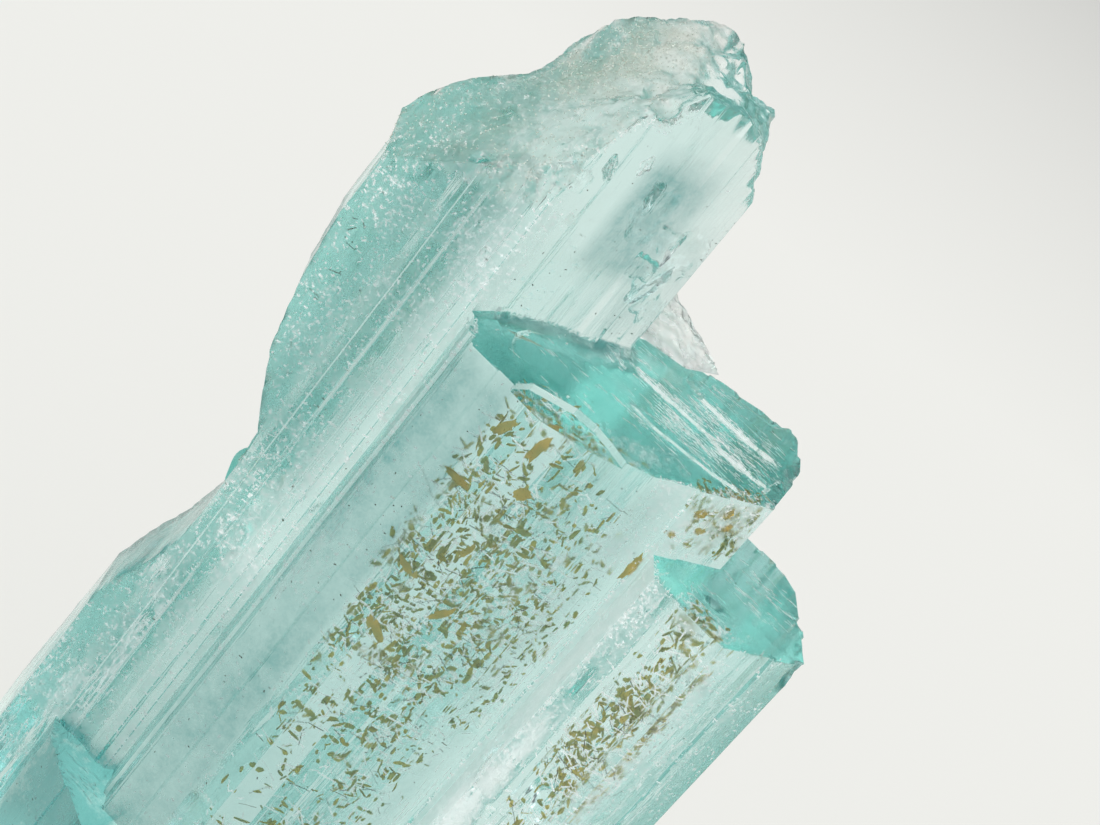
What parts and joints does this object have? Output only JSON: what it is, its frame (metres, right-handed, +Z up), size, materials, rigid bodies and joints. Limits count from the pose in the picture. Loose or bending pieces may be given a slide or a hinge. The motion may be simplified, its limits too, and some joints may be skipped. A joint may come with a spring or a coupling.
{
  "type": "mineral specimen",
  "caption": "Cluster of pale sea-green aquamarine crystals grown side by side, with a broken rough top, a chip of quartz and a flat base that it stands on.",
  "frame": {"origin": "middle of the flat base, where the cluster was cut from its rock", "axes": "+Z runs up the long axis that all the crystals share, +X runs across the cluster from the tall crystal to the front crystal, and +Y points to the back"},
  "size_m": [0.0358, 0.0227, 0.069],
  "materials": {
    "aquamarine": "clear sea-green beryl, frosted and striated in places",
    "quartz": "whitish, layered and half clear"
  },
  "bodies": {
    "root": {"aquamarine_cluster": "aquamarine", "quartz_chip": "quartz"}
  },
  "joints": []
}
